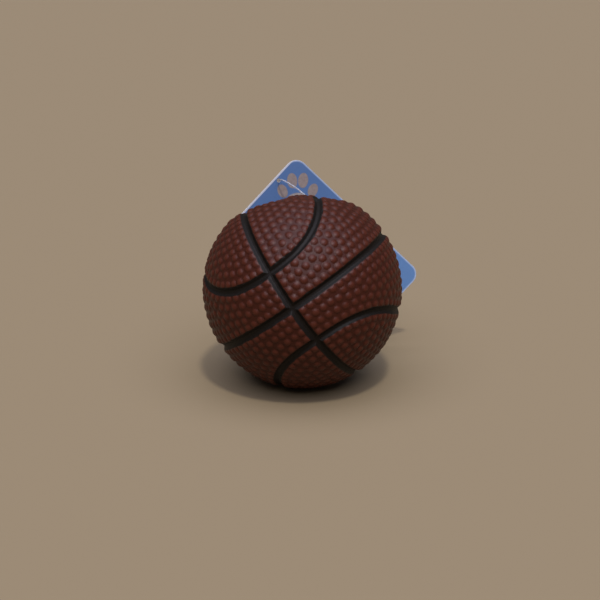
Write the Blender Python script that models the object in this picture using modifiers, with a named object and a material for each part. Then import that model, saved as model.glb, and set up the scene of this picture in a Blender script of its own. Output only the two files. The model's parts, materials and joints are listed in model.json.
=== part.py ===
"""Dog ball: a hollow squeaky vinyl ball with basketball channels, its squeaker, and a hang tag on a pin.

Metres, +Z up. The ball rests on its small flat, whose middle is the origin, and its front faces -Y.
"""

import math

import bmesh
import bpy
from mathutils import Euler, Matrix, Vector

NAME = "dog_ball"
MM = 0.001

# Clearance between pieces that touch or fit into each other
FIT = 0.3 * MM

# Points of one piece closer than this are the same point
WELD = 0.003 * MM

# Edges sharper than this stay crisp in smooth shading
CRISP_ANGLE = 35.0

# Ball shell, measured over the pebbled skin
BALL_RADIUS = 37.5 * MM
WALL = 2.8 * MM
REST_FLAT_RADIUS = 6.0 * MM
SHELL_SUBDIVISIONS = 4

# How the panels are turned on the resting ball, as X, Y and Z angles
PANEL_TURN = (-7.6, -35.6, -1.0)

# Channels between the panels: two great circles and two loops that wander in latitude
CHANNEL_WIDTH = 3.0 * MM
CHANNEL_DEPTH = 1.2 * MM
CHANNEL_STEPS = 72
CHANNEL_SIDES_RESOLUTION = 3
LOOP_NEAR_LATITUDE = 23.0
LOOP_FAR_LATITUDE = 46.0
LOOP_SHARPNESS = 2.8

# The soft top of the ball is pressed in a little, with a smaller dent on its left
DENT_DEPTH = 2.2 * MM
DENT_REACH = 32.0
DENT_SHARPNESS = 8
DENT_ELEVATION = 67.4
DENT_AZIMUTH = -10.0
SIDE_DENT_DEPTH = 1.4 * MM
SIDE_DENT_REACH = 16.0
SIDE_DENT_SHARPNESS = 5
SIDE_DENT_ELEVATION = 61.0
SIDE_DENT_AZIMUTH = -65.0

# Squeaker plug, at a latitude and longitude of the panel pattern, on the hidden side
SQUEAKER_LATITUDE = 18.0
SQUEAKER_LONGITUDE = -120.0
PLUG_FLANGE_RADIUS = 8.0 * MM
PLUG_FLANGE_RIM = 0.7 * MM
PLUG_CROWN = 0.7 * MM
PLUG_RECESS = 1.7 * MM
PLUG_NECK_RADIUS = 5.2 * MM
PLUG_BARB = 1.3 * MM
PLUG_BARB_LENGTH = 2.0 * MM
PLUG_BARB_LAND = 0.5 * MM
PLUG_BARREL_WALL = 1.2 * MM
PLUG_BARREL_LENGTH = 7.5 * MM
PLUG_BORE_RADIUS = 3.0 * MM
PLUG_TOP_WALL = 1.6 * MM
AIR_HOLE_RADIUS = 1.2 * MM
COLLAR_HEIGHT = 2.4 * MM
COLLAR_MARGIN = 1.5 * MM
TURNED_STEPS = 48
CROWN_POINTS = 6

# Reed and the two half-round pieces that hold it inside the plug's bore
REED_WIDTH = 3.4 * MM
REED_THICKNESS = 0.3 * MM
REED_ROOT = 1.2 * MM
REED_SETBACK = 0.6 * MM
BLOCK_END_GAP = 0.6 * MM
BLOCK_INSET = 0.5 * MM
CLAMP_LENGTH = 3.6 * MM
SLOT_WIDTH = 1.8 * MM
SLOT_DEPTH = 1.4 * MM
SLOT_LAND = 3.0 * MM
HALF_ROUND_STEPS = 32

# Hang tag: a card with rounded corners that hangs on the pin through a hole pierced near its end
TAG_LENGTH = 72.0 * MM
TAG_WIDTH = 44.0 * MM
TAG_THICKNESS = 0.5 * MM
TAG_CORNER_RADIUS = 4.8 * MM
TAG_HOLE_RADIUS = 0.8 * MM
TAG_HOLE_INSET = 1.8 * MM
TAG_HOLE_ASIDE = 10.0 * MM
TAG_STANDOFF = 0.45 * MM
TAG_LEAN = 4.0
TAG_YAW = 8.0
TAG_ROLL = 44.2
HOLE_ACROSS = -3.9 * MM
HOLE_ABOVE = 35.9 * MM
CORNER_STEPS = 8
PUNCH_STEPS = 20

# Tag pin: bar inside the shell, bent filament, and paddle behind the tag, as one
PIN_ELEVATION = 48.0
PIN_AZIMUTH = 8.0
FILAMENT_RADIUS = 0.3 * MM
BAR_LENGTH = 8.0 * MM
BAR_RADIUS = 0.6 * MM
BAR_PLAY = 0.5 * MM
PADDLE_LENGTH = 6.0 * MM
PADDLE_WIDTH = 3.0 * MM
PADDLE_THICKNESS = 0.8 * MM
PADDLE_CORNER_RADIUS = 1.2 * MM
APEX_LEFT = 5.0 * MM
APEX_BACK = 4.9 * MM
APEX_RISE = 4.3 * MM
APEX_AZIMUTH = -42.0
APEX_HANDLE_BEFORE = 1.75 * MM
APEX_HANDLE_AFTER = 1.75 * MM
EXIT_HANDLE = 4.8 * MM
TAG_HANDLE = 1.5 * MM
ARC_STEPS = 10
FILAMENT_SIDES_RESOLUTION = 2
BAR_STEPS = 16

# Cutters reach this far past what they cut
OVERCUT = 4.0 * MM

# Drawn size of the empties on the axes
AXIS_SIZE = 6.0 * MM

# Colour, roughness and metallic value of each material
VINYL = ((0.090, 0.022, 0.014, 1.0), 0.45, 0.0)
PLUG_PLASTIC = ((0.80, 0.79, 0.75, 1.0), 0.40, 0.0)
REED_PLASTIC = ((0.70, 0.69, 0.64, 1.0), 0.45, 0.0)
REED_BRASS = ((0.62, 0.45, 0.17, 1.0), 0.30, 1.0)
PIN_NYLON = ((0.78, 0.78, 0.80, 1.0), 0.25, 0.0)
TAG_CARD = ((0.120, 0.240, 0.530, 1.0), 0.55, 0.0)


def clear_scene():
    for obj in list(bpy.data.objects):
        bpy.data.objects.remove(obj, do_unlink=True)


def make_collection(name, hidden=False):
    collection = bpy.data.collections.new(name)
    bpy.context.scene.collection.children.link(collection)
    collection.hide_render = hidden
    return collection


clear_scene()
PARTS = make_collection(NAME)
CUTTERS = make_collection(NAME + "_cutters", hidden=True)


def make_material(name, finish):
    colour, roughness, metallic = finish
    material = bpy.data.materials.new(name)
    material.use_nodes = True
    shader = material.node_tree.nodes["Principled BSDF"]
    shader.inputs["Base Color"].default_value = colour
    shader.inputs["Roughness"].default_value = roughness
    shader.inputs["Metallic"].default_value = metallic
    material.diffuse_color = colour
    return material


def add_part(name, data, finish, parent=None):
    part = bpy.data.objects.new(name, data)
    part.data.materials.append(make_material(name, finish))
    part.parent = parent
    PARTS.objects.link(part)
    return part


def add_cutter(name, mesh, parent=None):
    cutter = bpy.data.objects.new(name, mesh)
    cutter.parent = parent
    cutter.hide_render = True
    cutter.display_type = "WIRE"
    CUTTERS.objects.link(cutter)
    return cutter


def add_axis(name, location, rotation=None):
    """An empty on a joint's axis or at the middle of a group of pieces."""
    axis = bpy.data.objects.new(name, None)
    axis.empty_display_size = AXIS_SIZE
    axis.location = location
    if rotation:
        axis.rotation_euler = rotation.to_euler()
    PARTS.objects.link(axis)
    return axis


def mesh_from(bm, name, smooth=True):
    mesh = bpy.data.meshes.new(name)
    bm.to_mesh(mesh)
    bm.free()
    if smooth:
        mesh.shade_smooth()
        mesh.set_sharp_from_angle(angle=math.radians(CRISP_ANGLE))
    return mesh


def boolean(target, cutter, operation="DIFFERENCE"):
    modifier = target.modifiers.new(cutter.name, "BOOLEAN")
    modifier.operation = operation
    modifier.solver = "EXACT"
    modifier.object = cutter


def cylinder_mesh(name, radius, bottom, top, steps):
    """A round bar along Z between two heights."""
    bm = bmesh.new()
    middle = Matrix.Translation((0, 0, (bottom + top) / 2))
    bmesh.ops.create_cone(
        bm,
        cap_ends=True,
        segments=steps,
        radius1=radius,
        radius2=radius,
        depth=top - bottom,
        matrix=middle,
    )
    return mesh_from(bm, name)


def box_mesh(name, size, middle):
    bm = bmesh.new()
    place = Matrix.Translation(middle) @ Matrix.Diagonal((*size, 1))
    bmesh.ops.create_cube(bm, size=1, matrix=place)
    return mesh_from(bm, name, smooth=False)


def mesh_of_curve(curve, name):
    """The curve's tube as a mesh of its own, with its caps welded on."""
    guide = bpy.data.objects.new(name, curve)
    bpy.context.scene.collection.objects.link(guide)
    graph = bpy.context.evaluated_depsgraph_get()
    mesh = bpy.data.meshes.new_from_object(guide.evaluated_get(graph))
    bpy.data.objects.remove(guide)
    bm = bmesh.new()
    bm.from_mesh(mesh)
    bmesh.ops.remove_doubles(bm, verts=bm.verts, dist=WELD)
    bmesh.ops.recalc_face_normals(bm, faces=bm.faces)
    bm.to_mesh(mesh)
    bm.free()
    mesh.name = name
    mesh.shade_smooth()
    return mesh


def direction(elevation, azimuth):
    """Unit vector at an elevation, turned from +Y towards +X by the azimuth, both in degrees."""
    rise = math.radians(elevation)
    turn = math.radians(azimuth)
    level = math.cos(rise)
    return Vector((level * math.sin(turn), level * math.cos(turn), math.sin(rise)))


# The ball's own geometry

PANELS = Euler([math.radians(angle) for angle in PANEL_TURN]).to_matrix()
BALL_CENTRE = Vector((0, 0, math.sqrt(BALL_RADIUS**2 - REST_FLAT_RADIUS**2)))
DENT = direction(DENT_ELEVATION, DENT_AZIMUTH)
SIDE_DENT = direction(SIDE_DENT_ELEVATION, SIDE_DENT_AZIMUTH)


def panel_direction(latitude, longitude):
    """Unit vector at a latitude and longitude of the panel pattern, in radians, from its front crossing."""
    level = math.cos(latitude)
    across = level * math.sin(longitude)
    back = -level * math.cos(longitude)
    return PANELS @ Vector((across, back, math.sin(latitude)))


def dent_depth(towards, middle, depth, reach, sharpness):
    """Depth of one dent in a direction."""
    away = towards.angle(middle) / math.radians(reach)
    return depth * math.exp(-(away**sharpness))


def sink(towards):
    """How far the dents lower the skin in a direction."""
    main_dent = (DENT, DENT_DEPTH, DENT_REACH, DENT_SHARPNESS)
    side_dent = (SIDE_DENT, SIDE_DENT_DEPTH, SIDE_DENT_REACH, SIDE_DENT_SHARPNESS)
    return dent_depth(towards, *main_dent) + dent_depth(towards, *side_dent)


def press_in(bm):
    for vert in bm.verts:
        vert.co -= vert.co.normalized() * sink(vert.co.normalized())


def meridian(angle):
    """The great circle through the poles of the panel pattern."""
    return panel_direction(angle, 0.0)


def belt(angle):
    """The great circle midway between the poles of the panel pattern."""
    return panel_direction(0.0, angle)


def loop_latitude(angle):
    """Latitude of the wandering loops: near the belt at the front and back, far from it at the sides."""
    swing = abs(math.sin(angle)) ** LOOP_SHARPNESS
    return math.radians(LOOP_NEAR_LATITUDE + (LOOP_FAR_LATITUDE - LOOP_NEAR_LATITUDE) * swing)


def upper_loop(angle):
    return panel_direction(loop_latitude(angle), angle)


def lower_loop(angle):
    return panel_direction(-loop_latitude(angle), angle)


CHANNELS = {
    "meridian_channel": meridian,
    "belt_channel": belt,
    "upper_loop_channel": upper_loop,
    "lower_loop_channel": lower_loop,
}


def channel_mesh(name, path):
    """A closed tube along a path on the skin, set so that it cuts the channel's width and depth."""
    tube_radius = (CHANNEL_WIDTH**2 / 4 + CHANNEL_DEPTH**2) / (2 * CHANNEL_DEPTH)
    lift = tube_radius - CHANNEL_DEPTH
    curve = bpy.data.curves.new(name, "CURVE")
    curve.dimensions = "3D"
    curve.bevel_depth = tube_radius
    curve.bevel_resolution = CHANNEL_SIDES_RESOLUTION
    spline = curve.splines.new("POLY")
    spline.points.add(CHANNEL_STEPS - 1)
    spline.use_cyclic_u = True
    for step, point in enumerate(spline.points):
        towards = path(math.tau * step / CHANNEL_STEPS)
        reach = BALL_RADIUS + lift - sink(towards)
        point.co = (*(towards * reach), 1)
    return mesh_of_curve(curve, name)


# Squeaker places, as distances from the ball's centre along the squeaker's axis

SQUEAKER = panel_direction(math.radians(SQUEAKER_LATITUDE), math.radians(SQUEAKER_LONGITUDE))
SEAT = BALL_RADIUS - PLUG_RECESS
COLLAR_FACE = BALL_RADIUS - WALL - COLLAR_HEIGHT
FLANGE_BOTTOM = SEAT + FIT
FLANGE_TOP = FLANGE_BOTTOM + PLUG_FLANGE_RIM
BARB_TOP = COLLAR_FACE - FIT
BARB_BOTTOM = BARB_TOP - PLUG_BARB_LENGTH
BARREL_END = BARB_BOTTOM - PLUG_BARREL_LENGTH
BORE_TOP = FLANGE_BOTTOM - PLUG_TOP_WALL
PLUG_BARREL_RADIUS = PLUG_BORE_RADIUS + PLUG_BARREL_WALL

# Reed places on the same axis
BLOCK_BOTTOM = BARREL_END + BLOCK_INSET
BLOCK_TOP = BORE_TOP - BLOCK_END_GAP
HALF_ROUND_RADIUS = PLUG_BORE_RADIUS - FIT
HALF_ROUND_FACE = REED_THICKNESS / 2 + FIT
REED_BOTTOM = BLOCK_BOTTOM
REED_HINGE = REED_BOTTOM + REED_ROOT
REED_TOP = BLOCK_TOP - REED_SETBACK

# Pin and tag places
PIN = direction(PIN_ELEVATION, PIN_AZIMUTH)
PIN_EXIT = BALL_CENTRE + PIN * (BALL_RADIUS - sink(PIN))
TAG_UPRIGHT = Matrix.Rotation(math.radians(90 - TAG_LEAN), 3, "X")
TAG_LEVEL = Matrix.Rotation(math.radians(TAG_YAW), 3, "Z") @ TAG_UPRIGHT
TAG_TURN = TAG_LEVEL @ Matrix.Rotation(-math.radians(TAG_ROLL), 3, "Z")
TAG_FRONT = TAG_LEVEL @ Vector((0, 0, 1))
TAG_DISTANCE = BALL_RADIUS + TAG_STANDOFF + TAG_THICKNESS / 2
TAG_HOLE = (
    BALL_CENTRE
    + TAG_LEVEL @ Vector((HOLE_ACROSS, HOLE_ABOVE, 0))
    - TAG_FRONT * TAG_DISTANCE
)


def make_ball_shell(ball_axis, squeaker_axis, pin_axis):
    bm = bmesh.new()
    bmesh.ops.create_icosphere(bm, subdivisions=SHELL_SUBDIVISIONS, radius=BALL_RADIUS)
    press_in(bm)
    shell = add_part("ball_shell", mesh_from(bm, "ball_shell"), VINYL, ball_axis)
    wall = shell.modifiers.new("wall", "SOLIDIFY")
    wall.thickness = WALL
    wall.offset = -1

    collar_radius = PLUG_FLANGE_RADIUS + COLLAR_MARGIN
    collar = cylinder_mesh("collar", collar_radius, COLLAR_FACE, SEAT, TURNED_STEPS)
    boolean(shell, add_cutter("collar", collar, squeaker_axis), "UNION")

    for name, path in CHANNELS.items():
        boolean(shell, add_cutter(name, channel_mesh(name, path), ball_axis))

    outside = BALL_RADIUS + OVERCUT
    recess = cylinder_mesh("plug_recess", PLUG_FLANGE_RADIUS + FIT, SEAT, outside, TURNED_STEPS)
    boolean(shell, add_cutter("plug_recess", recess, squeaker_axis))
    inside = COLLAR_FACE - OVERCUT
    neck_hole = cylinder_mesh("neck_hole", PLUG_NECK_RADIUS + FIT, inside, outside, TURNED_STEPS)
    boolean(shell, add_cutter("neck_hole", neck_hole, squeaker_axis))

    pierced = cylinder_mesh("pin_hole", FILAMENT_RADIUS + FIT, -WALL - OVERCUT, OVERCUT, BAR_STEPS)
    boolean(shell, add_cutter("pin_hole", pierced, pin_axis))

    floor_size = (BALL_RADIUS, BALL_RADIUS, OVERCUT)
    floor = box_mesh("rest_flat", floor_size, (0, 0, -OVERCUT / 2))
    boolean(shell, add_cutter("rest_flat", floor))
    return shell


def plug_profile():
    """Half section of the plug, from the rim of its air hole down the outside and back up the bore."""
    points = []
    for step in range(CROWN_POINTS + 1):
        share = step / CROWN_POINTS
        radius = AIR_HOLE_RADIUS + (PLUG_FLANGE_RADIUS - AIR_HOLE_RADIUS) * share
        points.append((radius, FLANGE_TOP + PLUG_CROWN * (1 - share**2)))
    barb_radius = PLUG_NECK_RADIUS + PLUG_BARB
    points += [
        (PLUG_FLANGE_RADIUS, FLANGE_BOTTOM),
        (PLUG_NECK_RADIUS, FLANGE_BOTTOM),
        (PLUG_NECK_RADIUS, BARB_TOP),
        (barb_radius, BARB_TOP),
        (barb_radius, BARB_TOP - PLUG_BARB_LAND),
        (PLUG_BARREL_RADIUS, BARB_BOTTOM),
        (PLUG_BARREL_RADIUS, BARREL_END),
        (PLUG_BORE_RADIUS, BARREL_END),
        (PLUG_BORE_RADIUS, BORE_TOP),
        (AIR_HOLE_RADIUS, BORE_TOP),
    ]
    return points


def make_squeaker_plug(squeaker_axis):
    bm = bmesh.new()
    corners = [bm.verts.new((radius, 0, height)) for radius, height in plug_profile()]
    for start, end in zip(corners, corners[1:] + corners[:1]):
        bm.edges.new((start, end))
    plug = add_part("squeaker_plug", mesh_from(bm, "squeaker_plug"), PLUG_PLASTIC, squeaker_axis)
    turn = plug.modifiers.new("turn", "SCREW")
    turn.steps = TURNED_STEPS
    turn.render_steps = TURNED_STEPS
    turn.use_merge_vertices = True
    turn.merge_threshold = WELD
    return plug


def half_round_mesh(name, side, bottom, top):
    """Half of a round bar along Z, with its flat facing the reed from one side of it."""
    bm = bmesh.new()
    middle = Matrix.Translation((0, 0, (bottom + top) / 2))
    bmesh.ops.create_cone(
        bm,
        cap_ends=True,
        segments=HALF_ROUND_STEPS,
        radius1=HALF_ROUND_RADIUS,
        radius2=HALF_ROUND_RADIUS,
        depth=top - bottom,
        matrix=middle,
    )
    everything = bm.verts[:] + bm.edges[:] + bm.faces[:]
    cut = bmesh.ops.bisect_plane(
        bm,
        geom=everything,
        plane_co=(side * HALF_ROUND_FACE, 0, 0),
        plane_no=(-side, 0, 0),
        clear_outer=True,
    )
    rim = [item for item in cut["geom_cut"] if isinstance(item, bmesh.types.BMEdge)]
    bmesh.ops.holes_fill(bm, edges=rim)
    bmesh.ops.recalc_face_normals(bm, faces=bm.faces)
    return mesh_from(bm, name)


def make_reed_block(squeaker_axis):
    """The longer half, with the air slot that the free end of the reed covers."""
    mesh = half_round_mesh("reed_block", -1, BLOCK_BOTTOM, BLOCK_TOP)
    block = add_part("reed_block", mesh, REED_PLASTIC, squeaker_axis)
    slot_bottom = BLOCK_BOTTOM + SLOT_LAND
    slot_top = BLOCK_TOP + OVERCUT
    slot_size = (2 * SLOT_DEPTH, SLOT_WIDTH, slot_top - slot_bottom)
    slot_middle = (-HALF_ROUND_FACE, 0, (slot_bottom + slot_top) / 2)
    slot = box_mesh("air_slot", slot_size, slot_middle)
    boolean(block, add_cutter("air_slot", slot, squeaker_axis))
    return block


def make_reed_clamp(squeaker_axis):
    """The shorter half, which pinches the root of the reed."""
    mesh = half_round_mesh("reed_clamp", 1, BLOCK_BOTTOM, BLOCK_BOTTOM + CLAMP_LENGTH)
    return add_part("reed_clamp", mesh, REED_PLASTIC, squeaker_axis)


def make_squeaker_reed(squeaker_axis):
    """A thin strip with its origin on the line that it bends about."""
    length = REED_TOP - REED_BOTTOM
    size = (REED_THICKNESS, REED_WIDTH, length)
    middle = (0, 0, REED_BOTTOM + length / 2 - REED_HINGE)
    mesh = box_mesh("squeaker_reed", size, middle)
    reed = add_part("squeaker_reed", mesh, REED_BRASS, squeaker_axis)
    reed.location = (0, 0, REED_HINGE)
    return reed


def rounded_rectangle(left, right, bottom, top, radius, steps):
    """Corner points of a rectangle with round corners, counter-clockwise."""
    centres = [
        (right - radius, top - radius),
        (left + radius, top - radius),
        (left + radius, bottom + radius),
        (right - radius, bottom + radius),
    ]
    points = []
    for quarter, (x, y) in enumerate(centres):
        for step in range(steps + 1):
            angle = math.pi / 2 * (quarter + step / steps)
            points.append((x + radius * math.cos(angle), y + radius * math.sin(angle)))
    return points


def circle(radius, steps):
    angles = [math.tau * step / steps for step in range(steps)]
    return [(radius * math.cos(angle), radius * math.sin(angle)) for angle in angles]


def plate_curve(name, outlines, thickness):
    """A flat plate from closed outlines, the first its edge and the others its holes."""
    curve = bpy.data.curves.new(name, "CURVE")
    curve.dimensions = "2D"
    curve.fill_mode = "BOTH"
    curve.extrude = thickness / 2
    for outline in outlines:
        spline = curve.splines.new("POLY")
        spline.points.add(len(outline) - 1)
        spline.use_cyclic_u = True
        for point, (x, y) in zip(spline.points, outline):
            point.co = (x, y, 0, 1)
    return curve


def make_hang_tag():
    """The card, with its origin in its pierced hole and its long side along its own X."""
    edge = rounded_rectangle(
        -TAG_HOLE_INSET,
        TAG_LENGTH - TAG_HOLE_INSET,
        -TAG_WIDTH / 2 - TAG_HOLE_ASIDE,
        TAG_WIDTH / 2 - TAG_HOLE_ASIDE,
        TAG_CORNER_RADIUS,
        CORNER_STEPS,
    )
    curve = plate_curve("hang_tag", [edge, circle(TAG_HOLE_RADIUS, PUNCH_STEPS)], TAG_THICKNESS)
    tag = add_part("hang_tag", curve, TAG_CARD)
    tag.location = TAG_HOLE
    tag.rotation_euler = TAG_TURN.to_euler()
    return tag


def bar_distance():
    """How far from the ball's centre the bar lies, with its ends clear of the wall however it is turned."""
    wall_inside = BALL_RADIUS - DENT_DEPTH - WALL
    end_reach = wall_inside - BAR_RADIUS - BAR_PLAY
    return math.sqrt(end_reach**2 - (BAR_LENGTH / 2) ** 2)


def filament_curve(bar_centre, paddle_face):
    """The bent filament: out square to the skin, across to the tag's end and square through its hole."""
    hole_front = TAG_HOLE + TAG_FRONT * TAG_THICKNESS
    apex = (PIN_EXIT + hole_front) / 2 + Vector((-APEX_LEFT, APEX_BACK, APEX_RISE))
    heading = direction(0, APEX_AZIMUTH)
    stops = [
        (bar_centre, PIN * FIT, PIN * FIT),
        (PIN_EXIT, PIN * FIT, PIN * EXIT_HANDLE),
        (apex, heading * APEX_HANDLE_BEFORE, heading * APEX_HANDLE_AFTER),
        (hole_front, -TAG_FRONT * TAG_HANDLE, -TAG_FRONT * FIT),
        (paddle_face, -TAG_FRONT * FIT, -TAG_FRONT * FIT),
    ]
    curve = bpy.data.curves.new("filament", "CURVE")
    curve.dimensions = "3D"
    curve.resolution_u = ARC_STEPS
    curve.bevel_depth = FILAMENT_RADIUS
    curve.bevel_resolution = FILAMENT_SIDES_RESOLUTION
    curve.use_fill_caps = True
    spline = curve.splines.new("BEZIER")
    spline.bezier_points.add(len(stops) - 1)
    for point, (place, back, ahead) in zip(spline.bezier_points, stops):
        point.handle_left_type = "FREE"
        point.handle_right_type = "FREE"
        point.co = place - PIN_EXIT
        point.handle_left = place - back - PIN_EXIT
        point.handle_right = place + ahead - PIN_EXIT
    return curve


def make_tag_pin(pin_turn):
    """One moulding in world directions, with its origin where its swivel axis leaves the skin."""
    bar_centre = BALL_CENTRE + PIN * bar_distance()
    paddle_gap = TAG_THICKNESS / 2 + FIT
    paddle_middle = TAG_HOLE - TAG_FRONT * (paddle_gap + PADDLE_THICKNESS / 2)
    filament = mesh_of_curve(filament_curve(bar_centre, paddle_middle), "tag_pin")
    pin = add_part("tag_pin", filament, PIN_NYLON)
    pin.location = PIN_EXIT

    bar = cylinder_mesh("pin_bar", BAR_RADIUS, -BAR_LENGTH / 2, BAR_LENGTH / 2, BAR_STEPS)
    bar_piece = add_cutter("pin_bar", bar)
    bar_piece.location = bar_centre
    bar_piece.rotation_euler = (pin_turn @ Matrix.Rotation(math.pi / 2, 3, "Y")).to_euler()
    boolean(pin, bar_piece, "UNION")

    outline = rounded_rectangle(
        -PADDLE_WIDTH / 2,
        PADDLE_WIDTH / 2,
        -PADDLE_LENGTH / 2,
        PADDLE_LENGTH / 2,
        PADDLE_CORNER_RADIUS,
        CORNER_STEPS // 2,
    )
    paddle = mesh_of_curve(plate_curve("pin_paddle", [outline], PADDLE_THICKNESS), "pin_paddle")
    paddle_piece = add_cutter("pin_paddle", paddle)
    paddle_piece.location = paddle_middle
    paddle_piece.rotation_euler = TAG_TURN.to_euler()
    boolean(pin, paddle_piece, "UNION")
    return pin


def main():
    ball_axis = add_axis("ball_centre", BALL_CENTRE)
    upright = Vector((0, 0, 1))
    squeaker_turn = upright.rotation_difference(SQUEAKER).to_matrix()
    squeaker_axis = add_axis("squeaker_axis", BALL_CENTRE, squeaker_turn)
    pin_turn = upright.rotation_difference(PIN).to_matrix()
    pin_axis = add_axis("pin_axis", PIN_EXIT, pin_turn)

    make_ball_shell(ball_axis, squeaker_axis, pin_axis)
    make_squeaker_plug(squeaker_axis)
    make_reed_block(squeaker_axis)
    make_reed_clamp(squeaker_axis)
    make_squeaker_reed(squeaker_axis)
    make_hang_tag()
    make_tag_pin(pin_turn)


main()
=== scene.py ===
"""Looks of the dog ball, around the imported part: pebbled vinyl skin, squeaker plug, tag pin and hang tag.

Metres, in the part's own frame: the ball rests on the origin and its front faces -Y.
"""

import json
import math

import bmesh
import bpy
import numpy as np
from mathutils import Euler, Matrix, Vector
from mathutils.kdtree import KDTree


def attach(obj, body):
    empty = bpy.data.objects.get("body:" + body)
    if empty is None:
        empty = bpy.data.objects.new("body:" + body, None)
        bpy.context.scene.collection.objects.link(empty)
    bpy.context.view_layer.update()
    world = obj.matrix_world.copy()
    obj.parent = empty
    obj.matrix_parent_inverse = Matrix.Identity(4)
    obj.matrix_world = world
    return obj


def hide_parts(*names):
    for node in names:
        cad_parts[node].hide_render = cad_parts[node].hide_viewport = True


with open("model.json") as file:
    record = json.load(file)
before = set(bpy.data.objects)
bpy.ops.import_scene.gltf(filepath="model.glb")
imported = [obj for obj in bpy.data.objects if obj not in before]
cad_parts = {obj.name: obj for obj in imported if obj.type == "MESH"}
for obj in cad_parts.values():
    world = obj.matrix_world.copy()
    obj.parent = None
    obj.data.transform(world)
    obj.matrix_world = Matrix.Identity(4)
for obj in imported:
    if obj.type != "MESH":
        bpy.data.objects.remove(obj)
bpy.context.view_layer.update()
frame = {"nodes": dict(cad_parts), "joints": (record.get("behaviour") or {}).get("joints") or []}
JOINTS = {joint["name"]: joint for joint in frame["joints"]}
MM = 0.001

# Gap between pieces that fit into each other
FIT = 0.3 * MM

# Ball, as in the part: radius over the pebbles, wall, rest flat and the panel pattern's turn in degrees
BALL_RADIUS = 37.5 * MM
WALL = 2.8 * MM
REST_FLAT_RADIUS = 6.0 * MM
BALL_CENTRE = np.array((0, 0, math.sqrt(BALL_RADIUS**2 - REST_FLAT_RADIUS**2)))
PANEL_TURN = (-7.6, -35.6, -1.0)
PANELS = np.array(Euler([math.radians(angle) for angle in PANEL_TURN]).to_matrix())

# Channels between the panels
CHANNEL_DEPTH = 1.3 * MM
CHANNEL_FLOOR = 0.35 * MM
CHANNEL_EDGE = 1.60 * MM
LOOP_NEAR_LATITUDE = math.radians(23.0)
LOOP_FAR_LATITUDE = math.radians(46.0)
LOOP_SHARPNESS = 2.8
CHANNEL_SAMPLES = 2880

# The soft ball is pressed in a little on its top, and again beside that
DENT_DEPTH = 2.2 * MM
DENT_REACH = math.radians(32.0)
DENT_SHARPNESS = 8
DENT_ELEVATION = math.radians(67.4)
DENT_AZIMUTH = math.radians(-10.0)
SIDE_DENT_DEPTH = 1.4 * MM
SIDE_DENT_REACH = math.radians(16.0)
SIDE_DENT_SHARPNESS = 5
SIDE_DENT_ELEVATION = math.radians(61.0)
SIDE_DENT_AZIMUTH = math.radians(-65.0)

# Pebbles of the skin, in rows along the channels
PEBBLE_PITCH = 3.3 * MM
PEBBLE_MARGIN = 2.6 * MM
PEBBLE_MARGIN_SLACK = 0.93
PEBBLE_RADIUS = 1.55 * MM
PEBBLE_HEIGHT = 0.47 * MM
PEBBLE_ROUNDNESS = 1.1
PEBBLE_VARIATION = 0.10
ROW_GAP = 0.78
FILL_GAP = 0.88
FILL_TRIES = 6000
SPREAD_STEPS = 60
SPREAD_REACH = 1.30
SPREAD_SHARE = 0.10
SEED = 7

# Skin mesh: an icosphere whose edges are cut again, and the step over which its slope is taken
SKIN_SUBDIVISIONS = 4
SKIN_CUTS = 11
CAVITY_SUBDIVISIONS = 5
SLOPE_STEP = 0.12 * MM
NEAR_POLE = 0.9
SKIN_CRISP_ANGLE = math.radians(75)

# Points nearer than this are one, and the inner side counts as this far from any channel
SAME_PLACE = 0.005 * MM
OFF_CHANNEL = 9 * MM

# Squeaker plug, with heights along its axis from the ball's centre
PLUG_AXIS_POINTS = np.array([vertex.co for vertex in frame["nodes"]["squeaker_plug"].data.vertices])
PLUG_FLANGE_RADIUS = 8.0 * MM
PLUG_FLANGE_RIM = 0.7 * MM
PLUG_CROWN = 0.7 * MM
PLUG_RECESS = 1.7 * MM
PLUG_SEAT = BALL_RADIUS - PLUG_RECESS
PLUG_NECK_RADIUS = 5.2 * MM
PLUG_BARB = 1.3 * MM
PLUG_BARB_LENGTH = 2.0 * MM
PLUG_BARB_LAND = 0.5 * MM
PLUG_BARREL_WALL = 1.2 * MM
PLUG_BARREL_LENGTH = 7.5 * MM
PLUG_BORE_RADIUS = 3.0 * MM
PLUG_TOP_WALL = 1.6 * MM
AIR_HOLE_RADIUS = 1.2 * MM
COLLAR_HEIGHT = 2.4 * MM
COLLAR_MARGIN = 1.5 * MM
COLLAR_FACE = BALL_RADIUS - WALL - COLLAR_HEIGHT
FLANGE_BOTTOM = PLUG_SEAT + FIT
FLANGE_TOP = FLANGE_BOTTOM + PLUG_FLANGE_RIM
BARB_TOP = COLLAR_FACE - FIT
GROOVE_RADIUS = 5.4 * MM
GROOVE_WIDTH = 0.8 * MM
GROOVE_DEPTH = 0.25 * MM
CROWN_POINTS = 18
PLUG_STEPS = 96
PLUG_EDGE = 0.15 * MM
CRISP_ANGLE = math.radians(35)

# Hang tag, turned as in the part, with its origin in the hole pierced near its end
TAG_LENGTH = 72.0 * MM
TAG_WIDTH = 44.0 * MM
TAG_THICKNESS = 0.5 * MM
TAG_CORNER_RADIUS = 4.8 * MM
TAG_HOLE_RADIUS = 0.8 * MM
TAG_HOLE_INSET = 1.8 * MM
TAG_HOLE_ASIDE = 10.0 * MM
TAG_EDGE = 0.07 * MM
TAG_CRISP_ANGLE = math.radians(15)
CORNER_STEPS = 12
PUNCH_STEPS = 48
TAG_LEAN = math.radians(4.0)
TAG_YAW = math.radians(8.0)
TAG_ROLL = math.radians(-44.2)
TAG_UPRIGHT = Matrix.Rotation(math.pi / 2 - TAG_LEAN, 3, "X")
TAG_LEVEL = Matrix.Rotation(TAG_YAW, 3, "Z") @ TAG_UPRIGHT
TAG_TURN = TAG_LEVEL @ Matrix.Rotation(TAG_ROLL, 3, "Z")
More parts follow.
